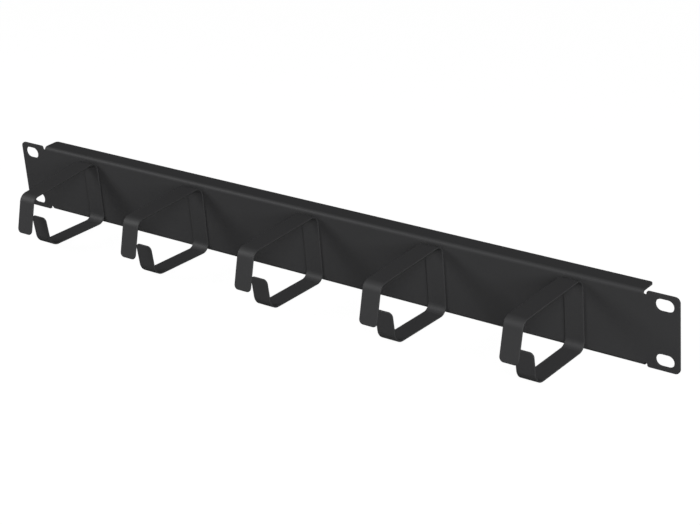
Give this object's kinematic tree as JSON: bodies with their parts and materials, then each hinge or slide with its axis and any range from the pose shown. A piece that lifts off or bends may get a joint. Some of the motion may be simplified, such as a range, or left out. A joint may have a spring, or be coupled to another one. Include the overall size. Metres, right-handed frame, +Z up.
{
  "type": "horizontal cable manager",
  "caption": "Black sheet-steel rack panel with folded flanges and slotted ears; open rings of bent strip stand out of its face to hold cables.",
  "frame": {"origin": "centre of the rack slot pattern, on the panel's front face", "axes": "+X along the panel to its right end seen from the front; -Y out of the front face, where the rings stand; +Y back into the rack; +Z up"},
  "size_m": [0.4826, 0.0757, 0.044],
  "materials": {
    "black_powder_coat": "satin black powder coat over sheet steel"
  },
  "bodies": {
    "root": {"rack_panel": "black_powder_coat", "cable_ring_1": "black_powder_coat", "cable_ring_2": "black_powder_coat", "cable_ring_3": "black_powder_coat", "cable_ring_4": "black_powder_coat", "cable_ring_5": "black_powder_coat"}
  },
  "joints": []
}
